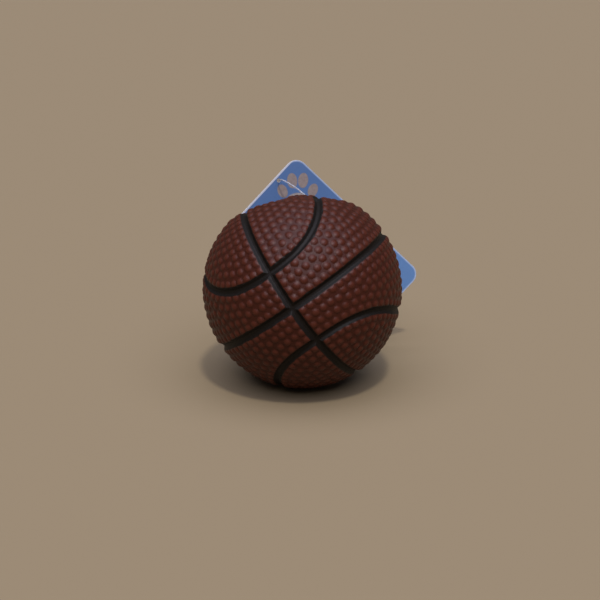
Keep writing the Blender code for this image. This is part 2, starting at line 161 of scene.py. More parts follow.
TAG_FRONT = TAG_LEVEL @ Vector((0, 0, 1))
TAG_HOLE = Vector(JOINTS["tag_swing"]["pos_m"])

# Tag pin: a bent filament with a bar inside the ball and a paddle behind the tag
PIN_EXIT = Vector(JOINTS["pin_swivel"]["pos_m"])
PIN_AXIS = (PIN_EXIT - Vector(BALL_CENTRE)).normalized()
FILAMENT_RADIUS = 0.3 * MM
PIN_HOLE_RADIUS = FILAMENT_RADIUS + FIT
PIN_BARE_RADIUS = 2.0 * MM
FILAMENT_STEPS = 24
FILAMENT_SIDES_RESOLUTION = 4
BAR_LENGTH = 8.0 * MM
BAR_RADIUS = 0.6 * MM
BAR_PLAY = 0.5 * MM
BAR_STEPS = 24
PADDLE_LENGTH = 6.0 * MM
PADDLE_WIDTH = 3.0 * MM
PADDLE_THICKNESS = 0.8 * MM
PADDLE_CORNER_RADIUS = 1.2 * MM
PADDLE_EDGE = 0.22 * MM
APEX_LEFT = 5.0 * MM
APEX_BACK = 4.9 * MM
APEX_RISE = 4.3 * MM
APEX_TURN = math.radians(42.0)
APEX_HEADING = Matrix.Rotation(APEX_TURN, 3, "Z") @ Vector((0, 1, 0))
APEX_HANDLE_BEFORE = 1.75 * MM
APEX_HANDLE_AFTER = 1.75 * MM
EXIT_HANDLE = 4.8 * MM
TAG_HANDLE = 1.5 * MM

# Cutters reach this far past what they cut
OVERCUT = 4.0 * MM


def unit(vectors):
    return vectors / np.linalg.norm(vectors, axis=-1, keepdims=True)


def smooth_step(low, high, values):
    """0 below the lower value and 1 above the higher one, with a smooth climb between."""
    share = np.clip((values - low) / (high - low), 0, 1)
    return share * share * (3 - 2 * share)


def panel_direction(latitude, longitude):
    """Unit vectors at latitudes and longitudes of the panel pattern."""
    level = np.cos(latitude)
    across = level * np.sin(longitude)
    back = -level * np.cos(longitude)
    up = np.broadcast_to(np.sin(latitude), across.shape)
    return np.stack([across, back, up], axis=-1) @ PANELS.T


def loop_latitude(longitude):
    """Latitude of the upper loop, near the belt in front and behind and far from it at the sides."""
    swing = np.abs(np.sin(longitude)) ** LOOP_SHARPNESS
    return LOOP_NEAR_LATITUDE + (LOOP_FAR_LATITUDE - LOOP_NEAR_LATITUDE) * swing


def channel_lines():
    """Points along the middle of every channel, on the unit sphere."""
    turn = np.linspace(0, math.tau, CHANNEL_SAMPLES, endpoint=False)
    level = np.zeros_like(turn)
    lines = [
        panel_direction(turn, level),
        panel_direction(level, turn),
        panel_direction(loop_latitude(turn), turn),
        panel_direction(-loop_latitude(turn), turn),
    ]
    return np.concatenate(lines)


def direction(elevation, azimuth):
    """Unit direction above the horizon, with the azimuth from the back towards the right."""
    level = math.cos(elevation)
    return np.array((level * math.sin(azimuth), level * math.cos(azimuth), math.sin(elevation)))


def dent_depth(directions, middle, depth, reach, sharpness):
    """Depth of one dent in each direction, level in its middle and fading out round its reach."""
    away = np.arccos(np.clip(directions @ middle, -1, 1)) / reach
    return depth * np.exp(-(away**sharpness))


def sink(directions):
    """How far the two dents lower the skin in each direction."""
    top = direction(DENT_ELEVATION, DENT_AZIMUTH)
    side = direction(SIDE_DENT_ELEVATION, SIDE_DENT_AZIMUTH)
    lowered = dent_depth(directions, top, DENT_DEPTH, DENT_REACH, DENT_SHARPNESS)
    return lowered + dent_depth(directions, side, SIDE_DENT_DEPTH, SIDE_DENT_REACH, SIDE_DENT_SHARPNESS)


def tree_of(places):
    tree = KDTree(len(places))
    for number, place in enumerate(places):
        tree.insert(place, number)
    tree.balance()
    return tree


def nearest(tree, points):
    """For each point, the number of the nearest place in the tree and the distance to it on the ball."""
    found = [tree.find(point) for point in points]
    numbers = np.array([number for _, number, _ in found])
    distances = np.array([distance for _, _, distance in found])
    return numbers, distances * BALL_RADIUS


CHANNEL_LINES = channel_lines()
CHANNEL_TREE = tree_of(CHANNEL_LINES)
PLUG_AXIS = unit(PLUG_AXIS_POINTS.mean(axis=0) - BALL_CENTRE)


def pebble_candidates():
    """Places for pebbles in one eighth of the pattern, those beside the channels first."""
    pitch = PEBBLE_PITCH / BALL_RADIUS
    margin = PEBBLE_MARGIN / BALL_RADIUS
    edge, inner = [], []

    turn = np.linspace(0, math.pi / 2, CHANNEL_SAMPLES)
    loop = panel_direction(loop_latitude(turn), turn)
    steps = np.linalg.norm(np.diff(loop, axis=0), axis=1)
    travelled = np.concatenate([[0], np.cumsum(steps)])
    heading = unit(np.gradient(loop, axis=0))
    aside = np.cross(loop, heading)
    for side in (-1, 1):
        for travel in np.arange(margin, travelled[-1], pitch):
            at = np.searchsorted(travelled, travel)
            edge.append(unit(loop[at] + side * margin * aside[at]))

    belt_rows = np.arange(margin, LOOP_FAR_LATITUDE, pitch)
    cap_rows = np.arange(LOOP_NEAR_LATITUDE + margin, math.pi / 2, pitch)
    for rows, side in ((belt_rows, -1), (cap_rows, 1)):
        for latitude in rows:
            level = math.cos(latitude)
            for step, travel in enumerate(np.arange(margin, level * math.pi / 2, pitch)):
                longitude = travel / level
                if side * (latitude - loop_latitude(longitude)) < margin / 2:
                    continue
                place = panel_direction(np.array(latitude), np.array(longitude))
                beside_channel = step == 0 or latitude == rows[0]
                (edge if beside_channel else inner).append(place)
    return np.array(edge), np.array(inner)


def mirrored(places):
    """Each place followed by its mirror images in the pattern's three planes."""
    own = places @ PANELS
    signs = [(x, y, z) for x in (1, -1) for y in (1, -1) for z in (1, -1)]
    images = own[:, None, :] * np.array(signs)[None]
    return images.reshape(-1, 3) @ PANELS.T


def keep_off_channels(places):
    """Places too near a channel are moved straight away from it, as far as the margin."""
    line, to_channel = nearest(CHANNEL_TREE, places)
    middles = CHANNEL_LINES[line]
    share = np.maximum(PEBBLE_MARGIN / np.maximum(to_channel, FIT), 1)
    return unit(middles + (places - middles) * share[:, None])


def spread(places, fixed):
    """Evens out the pebbles that aren't beside a channel by pushing near ones apart."""
    reach = SPREAD_REACH * PEBBLE_PITCH / BALL_RADIUS
    for _ in range(SPREAD_STEPS):
        gap = np.sqrt(np.maximum(2 - 2 * places @ places.T, 0))
        push = np.clip(1 - gap / reach, 0, None)
        np.fill_diagonal(push, 0)
        shift = push.sum(1)[:, None] * places - push @ places
        shift[fixed] = 0
        places = keep_off_channels(unit(places + SPREAD_SHARE * shift))
    return places


def pebble_places(keep_clear):
    """Middles of all pebbles on the unit sphere. keep_clear holds (direction, radius) of bare spots."""
    edge, inner = (mirrored(places) for places in pebble_candidates())
    fill = unit(np.random.default_rng(SEED).normal(size=(FILL_TRIES, 3)))
    candidates = np.concatenate([edge, inner, fill])
    _, to_channel = nearest(CHANNEL_TREE, candidates)
    clear = to_channel > PEBBLE_MARGIN_SLACK * PEBBLE_MARGIN
    for towards, radius in keep_clear:
        clear &= np.linalg.norm(candidates - np.array(towards), axis=1) * BALL_RADIUS > radius
    in_rows = len(edge) + len(inner)
    kept, fixed = [], []
    for number in np.flatnonzero(clear):
        place = candidates[number]
        gap = (ROW_GAP if number < in_rows else FILL_GAP) * PEBBLE_PITCH / BALL_RADIUS
        if kept and np.min(np.linalg.norm(np.array(kept) - place, axis=1)) < gap:
            continue
        kept.append(place)
        fixed.append(number < len(edge))
    return spread(np.array(kept), np.array(fixed))


def skin_marks(directions, pebbles, heights):
    """Distance of each direction from the nearest channel, and how far up a pebble it is, from 0 to 1."""
    _, to_channel = nearest(CHANNEL_TREE, directions)
    number, to_pebble = nearest(pebbles, directions)
    dome = np.clip(1 - (to_pebble / PEBBLE_RADIUS) ** 2, 0, None) ** PEBBLE_ROUNDNESS
    on_panel = smooth_step(CHANNEL_EDGE - FIT, CHANNEL_EDGE + FIT, to_channel)
    return to_channel, dome * heights[number] * on_panel


def skin_points(directions, to_channel, dome):
    """Points of the skin, from the ball's centre."""
    wall = smooth_step(CHANNEL_FLOOR, CHANNEL_EDGE, to_channel)
    channel = (CHANNEL_DEPTH - PEBBLE_HEIGHT) * (1 - wall)
    reach = BALL_RADIUS - PEBBLE_HEIGHT * (1 - dome) - channel - sink(directions)
    return directions * reach[:, None]


def skin_normals(directions, points, marks_of):
    """Normals taken from the shape itself, so that the channels shade smoothly whatever the triangles."""
    helper = np.where(np.abs(directions[:, 2:]) < NEAR_POLE, (0, 0, 1), (1, 0, 0))
    side = unit(np.cross(helper, directions))
    ends = []
    for heading in (side, np.cross(directions, side)):
        moved = unit(directions + heading * SLOPE_STEP / BALL_RADIUS)
        ends.append(skin_points(moved, *marks_of(moved)) - points)
    return unit(np.cross(*ends))


def link(name, data):
    piece = bpy.data.objects.new(name, data)
    bpy.context.scene.collection.objects.link(piece)
    return piece


def mesh_of(name, bm, crisp=None):
    """A smooth mesh, with edges sharper than the crisp angle left sharp."""
    mesh = bpy.data.meshes.new(name)
    bm.to_mesh(mesh)
    bm.free()
    mesh.shade_smooth()
    if crisp:
        mesh.set_sharp_from_angle(angle=crisp)
    return mesh


def made_mesh(piece):
    """The object's mesh with its modifiers, or with its curve swept. The object goes."""
    bpy.context.view_layer.update()
    graph = bpy.context.evaluated_depsgraph_get()
    mesh = bpy.data.meshes.new_from_object(piece.evaluated_get(graph))
    bpy.data.objects.remove(piece)
    return mesh


def combined(name, mesh, others, operation):
    """A closed mesh with other closed meshes joined to it or cut out of it."""
    piece = link(name, mesh)
    helpers = [link(name + "_helper", other) for other in others]
    for helper in helpers:
        boolean = piece.modifiers.new("boolean", "BOOLEAN")
        boolean.operation = operation
        boolean.solver = "EXACT"
        boolean.object = helper
    result = made_mesh(piece)
    for helper in helpers:
        bpy.data.objects.remove(helper)
    return result


def rod_mesh(name, radius, bottom, top, steps, turn):
    """A round bar along the Z axis of a frame given by a matrix."""
    bm = bmesh.new()
    bmesh.ops.create_cone(
        bm,
        cap_ends=True,
        segments=steps,
        radius1=radius,
        radius2=radius,
        depth=top - bottom,
        matrix=turn @ Matrix.Translation((0, 0, (bottom + top) / 2)),
    )
    return mesh_of(name, bm)


def along_axis(axis, place):
    """A frame at a place with its Z along an axis."""
    turn = Vector((0, 0, 1)).rotation_difference(Vector(axis)).to_matrix().to_4x4()
    return Matrix.Translation(Vector(place)) @ turn


def points_of(mesh):
    points = np.empty(len(mesh.vertices) * 3, np.float32)
    mesh.vertices.foreach_get("co", points)
    return points.reshape(-1, 3).astype(float)


def set_attribute(mesh, name, values, domain="POINT"):
    attribute = mesh.attributes.new(name, "FLOAT", domain)
    attribute.data.foreach_set("value", np.asarray(values, np.float32))


def cavity_mesh():
    """The air inside the ball, with the collar that holds the plug left standing in it."""
    bm = bmesh.new()
    bmesh.ops.create_icosphere(bm, subdivisions=CAVITY_SUBDIVISIONS, radius=1)
    for vert in bm.verts:
        towards = vert.co.normalized()
        reach = BALL_RADIUS - WALL - sink(np.array([towards]))[0]
        vert.co = Vector(BALL_CENTRE) + towards * reach
    cavity = mesh_of("cavity", bm)
    plug_frame = along_axis(PLUG_AXIS, BALL_CENTRE)
    collar_radius = PLUG_FLANGE_RADIUS + COLLAR_MARGIN
    collar = rod_mesh("collar", collar_radius, COLLAR_FACE, BALL_RADIUS, PLUG_STEPS, plug_frame)
    return combined("cavity", cavity, [collar], "DIFFERENCE")


def make_ball_skin():
    """The hollow vinyl skin: pebbles, channels and dents, the plug's seat and the pin's hole."""
    bare = [(PLUG_AXIS, PLUG_FLANGE_RADIUS + FIT + PEBBLE_RADIUS), (PIN_AXIS, PIN_BARE_RADIUS)]
    places = pebble_places(bare)
    pebbles = tree_of(places)
    heights = 1 + PEBBLE_VARIATION * np.random.default_rng(SEED).uniform(-1, 1, len(places))

    def marks_of(directions):
        return skin_marks(directions, pebbles, heights)

    bm = bmesh.new()
    bmesh.ops.create_icosphere(bm, subdivisions=SKIN_SUBDIVISIONS, radius=1)
    bmesh.ops.subdivide_edges(bm, edges=bm.edges, cuts=SKIN_CUTS, use_grid_fill=True)
    solid = mesh_of("ball_skin", bm)
    directions = unit(points_of(solid))
    points = skin_points(directions, *marks_of(directions)) + BALL_CENTRE
    points[:, 2] = np.maximum(points[:, 2], 0)
    solid.vertices.foreach_set("co", points.astype(np.float32).ravel())

    plug_frame = along_axis(PLUG_AXIS, BALL_CENTRE)
    pin_frame = along_axis(PIN_AXIS, PIN_EXIT)
    top = BALL_RADIUS + OVERCUT
    cutters = [
        cavity_mesh(),
        rod_mesh("recess", PLUG_FLANGE_RADIUS + FIT, PLUG_SEAT, top, PLUG_STEPS, plug_frame),
        rod_mesh("neck", PLUG_NECK_RADIUS + FIT, COLLAR_FACE - OVERCUT, top, PLUG_STEPS, plug_frame),
        rod_mesh("pin_hole", PIN_HOLE_RADIUS, -WALL - OVERCUT, OVERCUT, BAR_STEPS, pin_frame),
    ]
    mesh = combined("ball_skin", solid, cutters, "DIFFERENCE")

    points = points_of(mesh) - BALL_CENTRE
    directions = unit(points)
    to_channel, dome = marks_of(directions)
    shape = skin_points(directions, to_channel, dome)
    outside = np.linalg.norm(shape - points, axis=1) < SAME_PLACE
    set_attribute(mesh, "to_channel", np.where(outside, to_channel, OFF_CHANNEL) / MM)
    set_attribute(mesh, "pebble", np.where(outside, dome, 0))
    normals = skin_normals(directions, shape, marks_of)
    normals[~outside] = 0
    mesh.shade_smooth()
    mesh.set_sharp_from_angle(angle=SKIN_CRISP_ANGLE)
    mesh.normals_split_custom_set_from_vertices(normals)
    return link("ball_skin", mesh)


def round_edges(bm, radius):
    """Rounds every edge that turns by more than the crisp angle."""
    sharp = [edge for edge in bm.edges if edge.calc_face_angle(0) > CRISP_ANGLE]
    bmesh.ops.bevel(
        bm,
        geom=sharp,
        offset=radius,
        affect="EDGES",
        segments=2,
        profile=0.5,
        material=-1,
        clamp_overlap=True,
    )


def crown_height(radius):
    """Height of the plug's domed face, with a ring pressed into it."""
    share = (radius - AIR_HOLE_RADIUS) / (PLUG_FLANGE_RADIUS - AIR_HOLE_RADIUS)
    groove = max(0, 1 - (2 * (radius - GROOVE_RADIUS) / GROOVE_WIDTH) ** 2)
    return FLANGE_TOP + PLUG_CROWN * (1 - share**2) - GROOVE_DEPTH * groove


def plug_profile():
    """Half section of the plug, from the rim of its air hole down the outside and back up the bore."""
    radii = np.linspace(AIR_HOLE_RADIUS, PLUG_FLANGE_RADIUS, CROWN_POINTS)
    barb_radius = PLUG_NECK_RADIUS + PLUG_BARB
    barb_bottom = BARB_TOP - PLUG_BARB_LENGTH
    barrel_radius = PLUG_BORE_RADIUS + PLUG_BARREL_WALL
    barrel_end = barb_bottom - PLUG_BARREL_LENGTH
    bore_top = FLANGE_BOTTOM - PLUG_TOP_WALL
    return [(radius, crown_height(radius)) for radius in radii] + [
        (PLUG_FLANGE_RADIUS, FLANGE_BOTTOM),
        (PLUG_NECK_RADIUS, FLANGE_BOTTOM),
        (PLUG_NECK_RADIUS, BARB_TOP),
        (barb_radius, BARB_TOP),
        (barb_radius, BARB_TOP - PLUG_BARB_LAND),
        (barrel_radius, barb_bottom),
        (barrel_radius, barrel_end),
        (PLUG_BORE_RADIUS, barrel_end),
        (PLUG_BORE_RADIUS, bore_top),
        (AIR_HOLE_RADIUS, bore_top),
    ]


def make_squeaker_plug():
    """The turned plug, with its moulded edges rounded."""
    bm = bmesh.new()
    corners = [bm.verts.new((radius, 0, height)) for radius, height in plug_profile()]
    for start, end in zip(corners, corners[1:] + corners[:1]):
        bm.edges.new((start, end))
    bmesh.ops.spin(
        bm,
        geom=bm.verts[:] + bm.edges[:],
        cent=(0, 0, 0),
        axis=(0, 0, 1),
        angle=math.tau,
        steps=PLUG_STEPS,
        use_merge=True,
    )
    bmesh.ops.recalc_face_normals(bm, faces=bm.faces)
    round_edges(bm, PLUG_EDGE)
    bmesh.ops.transform(bm, matrix=along_axis(PLUG_AXIS, BALL_CENTRE), verts=bm.verts)
    return link("plug", mesh_of("plug", bm, CRISP_ANGLE))


def rounded_plate(length, width, thickness, corner, left, middle, edge, hole=None):
    """A flat plate with round corners, and a round hole at the origin where one is asked for."""
    bm = bmesh.new()
    right = left + length
    bottom, top = middle - width / 2, middle + width / 2
    ends = [(right, top), (left, top), (left, bottom), (right, bottom)]
    corners = [bm.verts.new((x, y, -thickness / 2)) for x, y in ends]
    bm.faces.new(corners)
    bmesh.ops.bevel(
        bm,
        geom=corners,
        offset=corner,
        affect="VERTICES",
        segments=CORNER_STEPS,
        profile=0.5,
        material=-1,
    )
    if hole:
        bmesh.ops.delete(bm, geom=bm.faces[:], context="FACES_ONLY")
        level = Matrix.Translation((0, 0, -thickness / 2))
        bmesh.ops.create_circle(bm, segments=PUNCH_STEPS, radius=hole, matrix=level)
        bmesh.ops.triangle_fill(bm, edges=bm.edges[:], use_beauty=True)
    raised = bmesh.ops.extrude_face_region(bm, geom=bm.faces[:])["geom"]
    top_verts = [item for item in raised if isinstance(item, bmesh.types.BMVert)]
    bmesh.ops.translate(bm, verts=top_verts, vec=(0, 0, thickness))
    bmesh.ops.recalc_face_normals(bm, faces=bm.faces)
    round_edges(bm, edge)
    return bm


def make_hang_tag():
    """The card, with a UV map for its print and a mark on each face: 1 front, -1 back, 0 cut edge."""
    bm = rounded_plate(
        TAG_LENGTH,
        TAG_WIDTH,
        TAG_THICKNESS,
        TAG_CORNER_RADIUS,
        -TAG_HOLE_INSET,
        -TAG_HOLE_ASIDE,
        TAG_EDGE,
        TAG_HOLE_RADIUS,
    )
    print_map = bm.loops.layers.uv.new("print")
    for face in bm.faces:
        for loop in face.loops:
            x, y, _ = loop.vert.co
            along = (x + TAG_HOLE_INSET) / TAG_LENGTH
            across = (y + TAG_HOLE_ASIDE) / TAG_WIDTH + 0.5
            loop[print_map].uv = (along, across)
    bm.normal_update()
    sides = [round(face.normal.z) for face in bm.faces]
    bmesh.ops.transform(bm, matrix=Matrix.LocRotScale(TAG_HOLE, TAG_TURN, None), verts=bm.verts)
    mesh = mesh_of("tag_card", bm, TAG_CRISP_ANGLE)
    set_attribute(mesh, "side", sides, "FACE")
    return link("tag_card", mesh)


def filament_mesh(bar_centre, paddle_middle):
    """The bent filament: out square to the skin, across to the tag's end and square through its hole."""
    hole_front = TAG_HOLE + TAG_FRONT * TAG_THICKNESS
    apex = (PIN_EXIT + hole_front) / 2 + Vector((-APEX_LEFT, APEX_BACK, APEX_RISE))
    stops = [
        (bar_centre, PIN_AXIS * FIT, PIN_AXIS * FIT),
        (PIN_EXIT, PIN_AXIS * FIT, PIN_AXIS * EXIT_HANDLE),
        (apex, APEX_HEADING * APEX_HANDLE_BEFORE, APEX_HEADING * APEX_HANDLE_AFTER),
        (hole_front, -TAG_FRONT * TAG_HANDLE, -TAG_FRONT * FIT),
        (paddle_middle, -TAG_FRONT * FIT, -TAG_FRONT * FIT),
    ]
    curve = bpy.data.curves.new("filament", "CURVE")
    curve.dimensions = "3D"
    curve.resolution_u = FILAMENT_STEPS
    curve.bevel_depth = FILAMENT_RADIUS
    curve.bevel_resolution = FILAMENT_SIDES_RESOLUTION
    curve.use_fill_caps = True
    spline = curve.splines.new("BEZIER")
    spline.bezier_points.add(len(stops) - 1)
    for point, (place, back, ahead) in zip(spline.bezier_points, stops):
        point.handle_left_type = "FREE"
        point.handle_right_type = "FREE"
        point.co = place
        point.handle_left = place - back
        point.handle_right = place + ahead
    bm = bmesh.new()
    bm.from_mesh(made_mesh(link("filament", curve)))
    bmesh.ops.remove_doubles(bm, verts=bm.verts, dist=SAME_PLACE)
    bmesh.ops.recalc_face_normals(bm, faces=bm.faces)
    return mesh_of("filament", bm)


def make_tag_pin():
    """One nylon moulding: bar, filament and paddle."""
    end_reach = BALL_RADIUS - DENT_DEPTH - WALL - BAR_RADIUS - BAR_PLAY
    bar_distance = math.sqrt(end_reach**2 - (BAR_LENGTH / 2) ** 2)
    bar_centre = Vector(BALL_CENTRE) + PIN_AXIS * bar_distance
    paddle_gap = TAG_THICKNESS / 2 + FIT
    paddle_middle = TAG_HOLE - TAG_FRONT * (paddle_gap + PADDLE_THICKNESS / 2)

    across = Matrix.Rotation(math.pi / 2, 4, "Y")
    bar_frame = along_axis(PIN_AXIS, bar_centre) @ across
    bar = rod_mesh("bar", BAR_RADIUS, -BAR_LENGTH / 2, BAR_LENGTH / 2, BAR_STEPS, bar_frame)
    bm = rounded_plate(
        PADDLE_WIDTH,
        PADDLE_LENGTH,
        PADDLE_THICKNESS,
        PADDLE_CORNER_RADIUS,
        -PADDLE_WIDTH / 2,
        0,
        PADDLE_EDGE,
    )
    paddle_frame = Matrix.LocRotScale(paddle_middle, TAG_TURN, None)
    bmesh.ops.transform(bm, matrix=paddle_frame, verts=bm.verts)
    paddle = mesh_of("paddle", bm)

    filament = filament_mesh(bar_centre, paddle_middle)
    mesh = combined("nylon_pin", filament, [bar, paddle], "UNION")
    mesh.shade_smooth()
    mesh.set_sharp_from_angle(angle=CRISP_ANGLE)
    return link("nylon_pin", mesh)


PLAIN_SOCKETS = {
    "specular": "Specular IOR Level",
    "metallic": "Metallic",
    "roughness": "Roughness",
    "transmission": "Transmission Weight",
    "ior": "IOR",
    "coat_roughness": "Coat Roughness",
    "subsurface": "Subsurface Weight",
}


class Socket:
    """An output of a node, on which arithmetic adds Math nodes."""

    def __init__(self, finish, output):
        self.finish = finish
        self.output = output

    def maths(self, operation, *values):
        inputs = dict(enumerate(values))
        return self.finish.node("Math", {"operation": operation}, inputs)

    def __add__(self, other):
        return self.maths("ADD", self, other)

    def __radd__(self, other):
        return self.maths("ADD", other, self)

    def __sub__(self, other):
        return self.maths("SUBTRACT", self, other)

    def __rsub__(self, other):
        return self.maths("SUBTRACT", other, self)

    def __mul__(self, other):
        return self.maths("MULTIPLY", self, other)

    def __rmul__(self, other):
        return self.maths("MULTIPLY", other, self)

    def __truediv__(self, other):
        return self.maths("DIVIDE", self, other)

    def __rtruediv__(self, other):
        return self.maths("DIVIDE", other, self)

    def __pow__(self, other):
        return self.maths("POWER", self, other)


class Finish:
    """A material: its nodes and the sockets of its Principled shader."""

    def __init__(self, name, **plain):
        self.material = bpy.data.materials.new(name)
        self.material.use_nodes = True
        self.tree = self.material.node_tree
        self.shader = self.tree.nodes["Principled BSDF"]
        for socket, value in plain.items():
            self.shader.inputs[PLAIN_SOCKETS[socket]].default_value = value

    def node(self, kind, settings=None, inputs=None, output=0):
        """Adds a node with its settings, then feeds its inputs, and returns one of its outputs."""
        node = self.tree.nodes.new("ShaderNode" + kind)
        for name, value in (settings or {}).items():
            setattr(node, name, value)
        for socket, value in (inputs or {}).items():
            self.feed(node.inputs[socket], value)
        return Socket(self, node.outputs[output])

    def feed(self, socket, value):
        if isinstance(value, Socket):
            self.tree.links.new(value.output, socket)
        elif socket.type == "RGBA":
            socket.default_value = (*value, 1)
        else:
            socket.default_value = value

    def wear(self, socket, value):
        """Feeds a socket of the Principled shader."""
        self.feed(self.shader.inputs[socket], value)

    def place(self):
        return self.node("TexCoord", output="Object")

    def attribute(self, name):
        return self.node("Attribute", {"attribute_name": name}, output="Fac")

    def noise(self, size, detail=3, roughness=0.5, where=None):
        """Noise whose features are about this many metres across, from 0 to 1."""
        inputs = {
            "Vector": where or self.place(),
            "Scale": 1 / size,
            "Detail": detail,
            "Roughness": roughness,
        }
        return self.node("TexNoise", None, inputs)

    def step(self, value, low, high):
        """0 below the lower value and 1 above the higher one, with a smooth climb between."""
        settings = {"interpolation_type": "SMOOTHSTEP"}
        inputs = {"Value": value, "From Min": low, "From Max": high}
        return self.node("MapRange", settings, inputs)

    def larger(self, first, second):
        return self.node("Math", {"operation": "MAXIMUM"}, {0: first, 1: second})

    def smaller(self, first, second):
        return self.node("Math", {"operation": "MINIMUM"}, {0: first, 1: second})

    def size_of(self, value):
        return self.node("Math", {"operation": "ABSOLUTE"}, {0: value})

    def mix(self, share, first, second):
        """A colour between two others."""
        inputs = {0: share, 6: first, 7: second}
        return self.node("Mix", {"data_type": "RGBA"}, inputs, output=2)

    def bump(self, height, depth, strength=1.0):
        """Roughens the surface by a height from 0 to 1 that stands for this many metres."""
        inputs = {"Height": height, "Distance": depth, "Strength": strength}
        self.wear("Normal", self.node("Bump", None, inputs))


# Colours of the finishes. A pair is what a pattern goes between
# The first vinyl pair is painted shade: the vinyl darkened for the valleys between pebbles. The second pair
# is the vinyl on the pebble tops
VINYL_PAINTED_VALLEY_SHADE = ((0.041, 0.0078, 0.0028), (0.049, 0.0098, 0.0038))
VINYL_HIGH = ((0.066, 0.0140, 0.0062), (0.077, 0.0174, 0.0080))
CHANNEL_PAINT = (0.0054, 0.0032, 0.0016)
PLUG_WHITE = ((0.74, 0.73, 0.69), (0.82, 0.81, 0.77))
REED_IVORY = ((0.64, 0.63, 0.58), (0.73, 0.72, 0.67))
BRASS_TO_TARNISH = ((0.66, 0.47, 0.18), (0.42, 0.27, 0.10))
NYLON_CLEAR = ((0.80, 0.81, 0.84), (0.92, 0.92, 0.94))
CARD_WHITE = ((0.66, 0.66, 0.65), (0.80, 0.80, 0.78))
CARD_BLUE = ((0.102, 0.190, 0.390), (0.138, 0.275, 0.540))
CARD_CLOUD = (0.12, 0.232, 0.462)
SMALL_PAW_BLUE = (0.30, 0.43, 0.70)
PAD_BROWN = ((0.30, 0.25, 0.23), (0.52, 0.46, 0.43))
TOE_BROWN = ((0.20, 0.15, 0.13), (0.46, 0.38, 0.35))
RIM_BLUE = (0.55, 0.64, 0.80)
END_WHITE = (0.72, 0.72, 0.76)


def vinyl_finish():
    """Brick red moulded vinyl with painted shade, darker between the pebbles and lighter on their tops,
    with black paint in the channels.
    """
    finish = Finish("vinyl", specular=0.20)
    pebble = finish.attribute("pebble")
    to_channel = finish.attribute("to_channel")
    cloudy = finish.noise(14 * MM, detail=2)
    grain = finish.noise(0.5 * MM, detail=4, roughness=0.6)
    painted_valley_shade = finish.mix(cloudy, *VINYL_PAINTED_VALLEY_SHADE)
    high = finish.mix(cloudy, *VINYL_HIGH)
    # Painted shade: the skin climbs from the darkened valley colour between the pebbles to the lighter
    # colour on their tops
    skin = finish.mix(finish.step(pebble, 0.0, 0.8), painted_valley_shade, high)

    # Edge of the paint, in millimetres from the channel's middle, bled out between some pebbles
    ragged = finish.noise(1.6 * MM, detail=2)
    bleed = finish.step(finish.noise(9 * MM, detail=1), 0.52, 0.66)
    edge = 1.25 + 0.45 * ragged + 0.35 * bleed * (1 - pebble)
    paint = 1 - finish.step(to_channel - edge, -0.08, 0.10)
    finish.wear("Base Color", finish.mix(paint, skin, CHANNEL_PAINT))
    low = 1 - finish.step(pebble, 0.0, 0.6)
    finish.wear("Roughness", 0.37 + 0.10 * grain + 0.06 * low + 0.12 * paint)
    finish.bump(grain, 0.02 * MM, 0.5)
    return finish.material


def moulded_finish(name, colour, shade):
    """Satin moulded plastic with faint flow clouds and a fine grain."""
    finish = Finish(name, subsurface=0.05)
    clouds = finish.noise(4 * MM, detail=2)
    grain = finish.noise(0.25 * MM, detail=3)
    finish.wear("Base Color", finish.mix(clouds, colour, shade))
    finish.wear("Roughness", 0.36 + 0.14 * grain)
    finish.bump(grain, 0.008 * MM, 0.6)
    return finish.material


def brass_finish():
    """Rolled brass strip, with fine lines from the rolls and a little tarnish."""
    finish = Finish("brass", metallic=1.0)
    along = {"Vector": finish.place(), "Scale": (1, 1, 0.05)}
    lines = finish.noise(0.12 * MM, where=finish.node("Mapping", None, along))
    tarnish = finish.step(finish.noise(1.5 * MM), 0.45, 0.75)
    finish.wear("Base Color", finish.mix(tarnish, *BRASS_TO_TARNISH))
    finish.wear("Roughness", 0.22 + 0.15 * lines + 0.12 * tarnish)
    finish.bump(lines, 0.004 * MM, 0.5)
    return finish.material


def nylon_finish():
    """Clear moulded nylon, a little cloudy."""
    finish = Finish("nylon", transmission=0.75, ior=1.53)
    haze = finish.noise(0.8 * MM, detail=2)
    finish.wear("Base Color", finish.mix(haze, *NYLON_CLEAR))
    finish.wear("Roughness", 0.18 + 0.16 * haze)
    finish.bump(haze, 0.01 * MM, 0.4)
    return finish.material


# Print of the tag, in millimetres from its hole end and from its middle line
PAW_TOES = (
    ((-0.36, 0.10), (0.115, 0.165), 0.40),
    ((-0.13, 0.34), (0.120, 0.180), 0.12),
    ((0.13, 0.34), (0.120, 0.180), -0.12),
    ((0.36, 0.10), (0.115, 0.165), -0.40),
)
PAW_PAD = ((0.0, -0.20), (0.31, 0.25), 0.0)
LARGE_PAW = ((11.5, 11.0), 17.0, math.radians(44))
SMALL_PAW_WIDTH = 5.0
SMALL_PAW_TURN = math.radians(70)
SMALL_PAW_CELL = 13.0
STREWN_FROM = 28.0
STREWN_TO = 57.0
STREWN_FADE = 1.0
GROUND_FADE = (5.0, 70.0)
RIM_WIDTH = 0.55
RIM_FADE = 0.15
END_MARGIN = 0.65
BLOT_FADE = 0.10


def soft_step(finish, value, middle, fade):
    """A step at a value, with a climb as far as the fade to both sides of it."""
    return finish.step(value, middle - fade, middle + fade)


def blot(finish, along, across, middle, size, turn):
    """1 inside an ellipse of the print and 0 outside it."""
    cosine, sine = math.cos(turn), math.sin(turn)
    x = along - middle[0]
    y = across - middle[1]
    right = (x * cosine + y * sine) / size[0]
    up = (y * cosine - x * sine) / size[1]
    return 1 - soft_step(finish, right * right + up * up, 1, BLOT_FADE)


